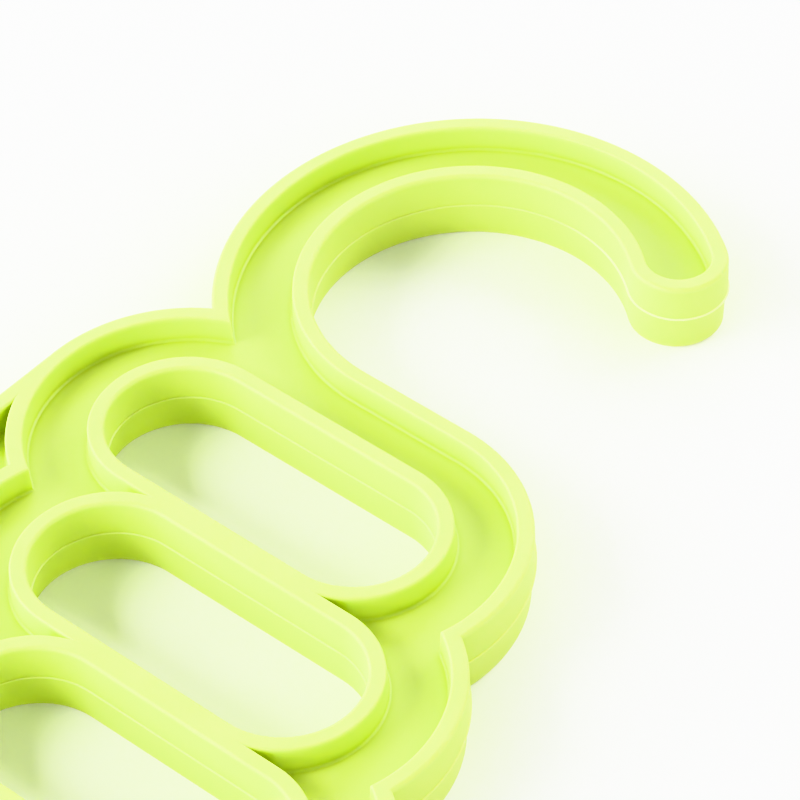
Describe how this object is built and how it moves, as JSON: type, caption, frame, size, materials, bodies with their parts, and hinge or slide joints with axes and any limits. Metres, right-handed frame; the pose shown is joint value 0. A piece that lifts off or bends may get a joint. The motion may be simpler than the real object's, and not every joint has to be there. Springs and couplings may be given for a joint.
{
  "type": "folding hanger",
  "caption": "Flat plastic cascade hanger for a wardrobe rail: slotted leaves, each with an open hook, hinged across the middle to fold face to face.",
  "frame": {"origin": "centre of the opened hanger's underside, below the middle of the fold line", "axes": "+Z out of the face that folds inwards, +Y along the hanger from the fold line towards the upper leaf's hook, +X along the slots towards the open side of the hooks"},
  "size_m": [0.1016, 0.3494, 0.0146],
  "materials": {
    "lime_plastic": "satin moulded plastic, slightly translucent lime green",
    "pin_steel": "plain bright steel"
  },
  "bodies": {
    "upper_leaf": {"upper_leaf": "lime_plastic", "hinge_pin_left": "pin_steel", "hinge_pin_right": "pin_steel", "pin_cap_left": "lime_plastic", "pin_cap_right": "lime_plastic"},
    "lower_leaf": {"lower_leaf": "lime_plastic"}
  },
  "joints": [
    {"name": "fold", "type": "hinge", "parent": "upper_leaf", "child": "lower_leaf", "pos_m": [0, 0, 0.0109], "axis": [-1, 0, 0], "range_deg": [0, 180]}
  ]
}
